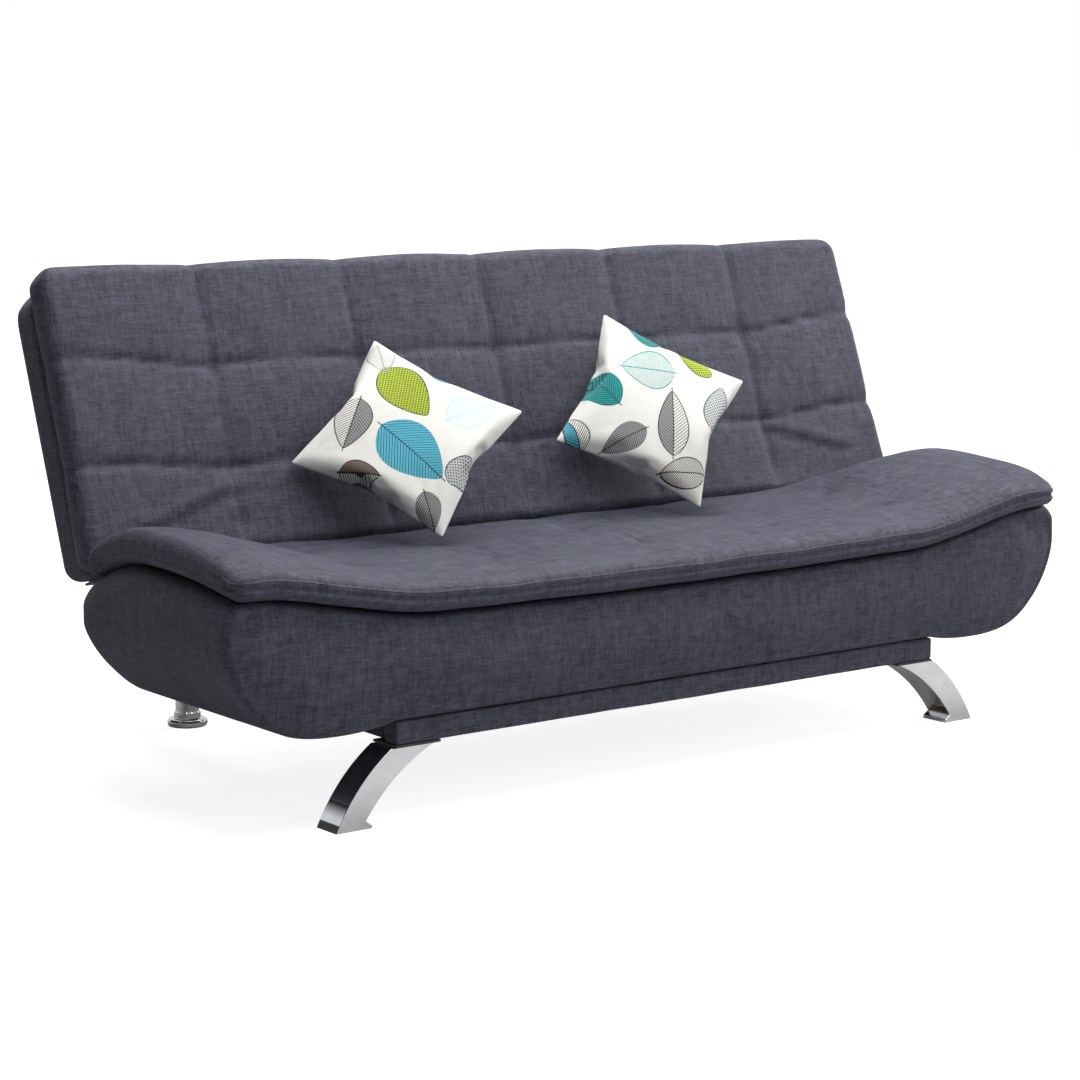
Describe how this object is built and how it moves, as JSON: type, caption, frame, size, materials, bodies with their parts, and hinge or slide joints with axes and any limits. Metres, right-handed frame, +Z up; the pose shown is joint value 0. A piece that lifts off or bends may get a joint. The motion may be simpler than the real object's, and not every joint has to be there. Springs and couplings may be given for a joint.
{
  "type": "futon sofa bed",
  "caption": "Low upholstered sofa whose back reclines flat on click-clack hinges to make a bed, on a base with swept chrome front legs.",
  "frame": {"origin": "on the floor, under the middle of the sofa's bounding box", "axes": "+X along the sofa's length, +Y towards the back, +Z up"},
  "size_m": [1.876, 0.936, 0.8883],
  "materials": {
    "grey_fabric": "slubbed linen-look weave",
    "lining": "non-woven dust cover",
    "foam": "open-cell foam",
    "timber": "planed pine",
    "chrome": "polished",
    "dark_steel": "black satin coating",
    "spring_wire": "drawn wire",
    "printed_linen": "printed cotton-linen"
  },
  "bodies": {
    "base": {"base_front_rail": "grey_fabric", "base_rear_rail": "timber", "base_side_rail_left": "grey_fabric", "base_side_rail_right": "grey_fabric", "base_cross_rail": "timber", "front_leg_left": "chrome", "front_leg_right": "chrome", "front_leg_plate_left": "dark_steel", "front_leg_plate_right": "dark_steel", "rear_leg_left": "chrome", "rear_leg_right": "chrome", "rear_leg_glide_left": "chrome", "rear_leg_glide_right": "chrome", "base_bracket_left": "dark_steel", "base_bracket_right": "dark_steel", "pivot_pin_left": "dark_steel", "pivot_pin_right": "dark_steel"},
    "seat": {"seat_lug_left": "dark_steel", "seat_lug_right": "dark_steel", "seat_frame_front_rail": "timber", "seat_frame_rear_rail": "timber", "seat_frame_end_rail_left": "timber", "seat_frame_end_rail_right": "timber", "seat_frame_middle_rail": "timber", "seat_spring_1": "spring_wire", "seat_spring_2": "spring_wire", "seat_spring_3": "spring_wire", "seat_spring_4": "spring_wire", "seat_foam": "foam", "seat_shell": "grey_fabric", "seat_dust_cover": "lining", "seat_pad": "grey_fabric", "hinge_seat_arm_left": "dark_steel", "hinge_seat_arm_right": "dark_steel", "hinge_pin_left": "dark_steel", "hinge_pin_right": "dark_steel"},
    "back": {"hinge_back_arm_left": "dark_steel", "hinge_back_arm_right": "dark_steel", "back_frame_top_rail": "timber", "back_frame_bottom_rail": "timber", "back_frame_end_rail_left": "timber", "back_frame_end_rail_right": "timber", "back_frame_middle_rail": "timber", "back_spring_1": "spring_wire", "back_spring_2": "spring_wire", "back_spring_3": "spring_wire", "back_spring_4": "spring_wire", "back_foam": "foam", "back_shell": "grey_fabric", "back_rear_panel": "grey_fabric", "back_pad": "grey_fabric"},
    "left_pawl": {"pawl_left": "dark_steel", "pawl_spring_left": "spring_wire"},
    "right_pawl": {"pawl_right": "dark_steel", "pawl_spring_right": "spring_wire"},
    "left_cushion": {"cushion_left": "printed_linen"},
    "right_cushion": {"cushion_right": "printed_linen"}
  },
  "joints": [
    {"name": "seat_lift", "type": "hinge", "parent": "base", "child": "seat", "pos_m": [0, 0.067, 0.347], "axis": [-1, 0, 0], "range_deg": [0, 12]},
    {"name": "back_recline", "type": "hinge", "parent": "seat", "child": "back", "pos_m": [0, 0.067, 0.347], "axis": [-1, 0, 0], "range_deg": [0, 70]},
    {"name": "pawl_left_trip", "type": "hinge", "parent": "seat", "child": "left_pawl", "pos_m": [0, 0.063, 0.289], "axis": [1, 0, 0], "range_deg": [0, 12]},
    {"name": "pawl_right_trip", "type": "hinge", "parent": "seat", "child": "right_pawl", "pos_m": [0, 0.063, 0.289], "axis": [1, 0, 0], "range_deg": [0, 12]},
    {"name": "cushion_left_lift_off", "type": "slide", "parent": "back", "child": "left_cushion", "axis": [0, -0.9397, 0.342], "range_m": [0, 0.25]},
    {"name": "cushion_right_lift_off", "type": "slide", "parent": "back", "child": "right_cushion", "axis": [0, -0.9397, 0.342], "range_m": [0, 0.25]}
  ],
  "couplings": [
    {"joint": "pawl_left_trip", "follows": "seat_lift", "ratio": 1},
    {"joint": "pawl_right_trip", "follows": "seat_lift", "ratio": 1}
  ]
}
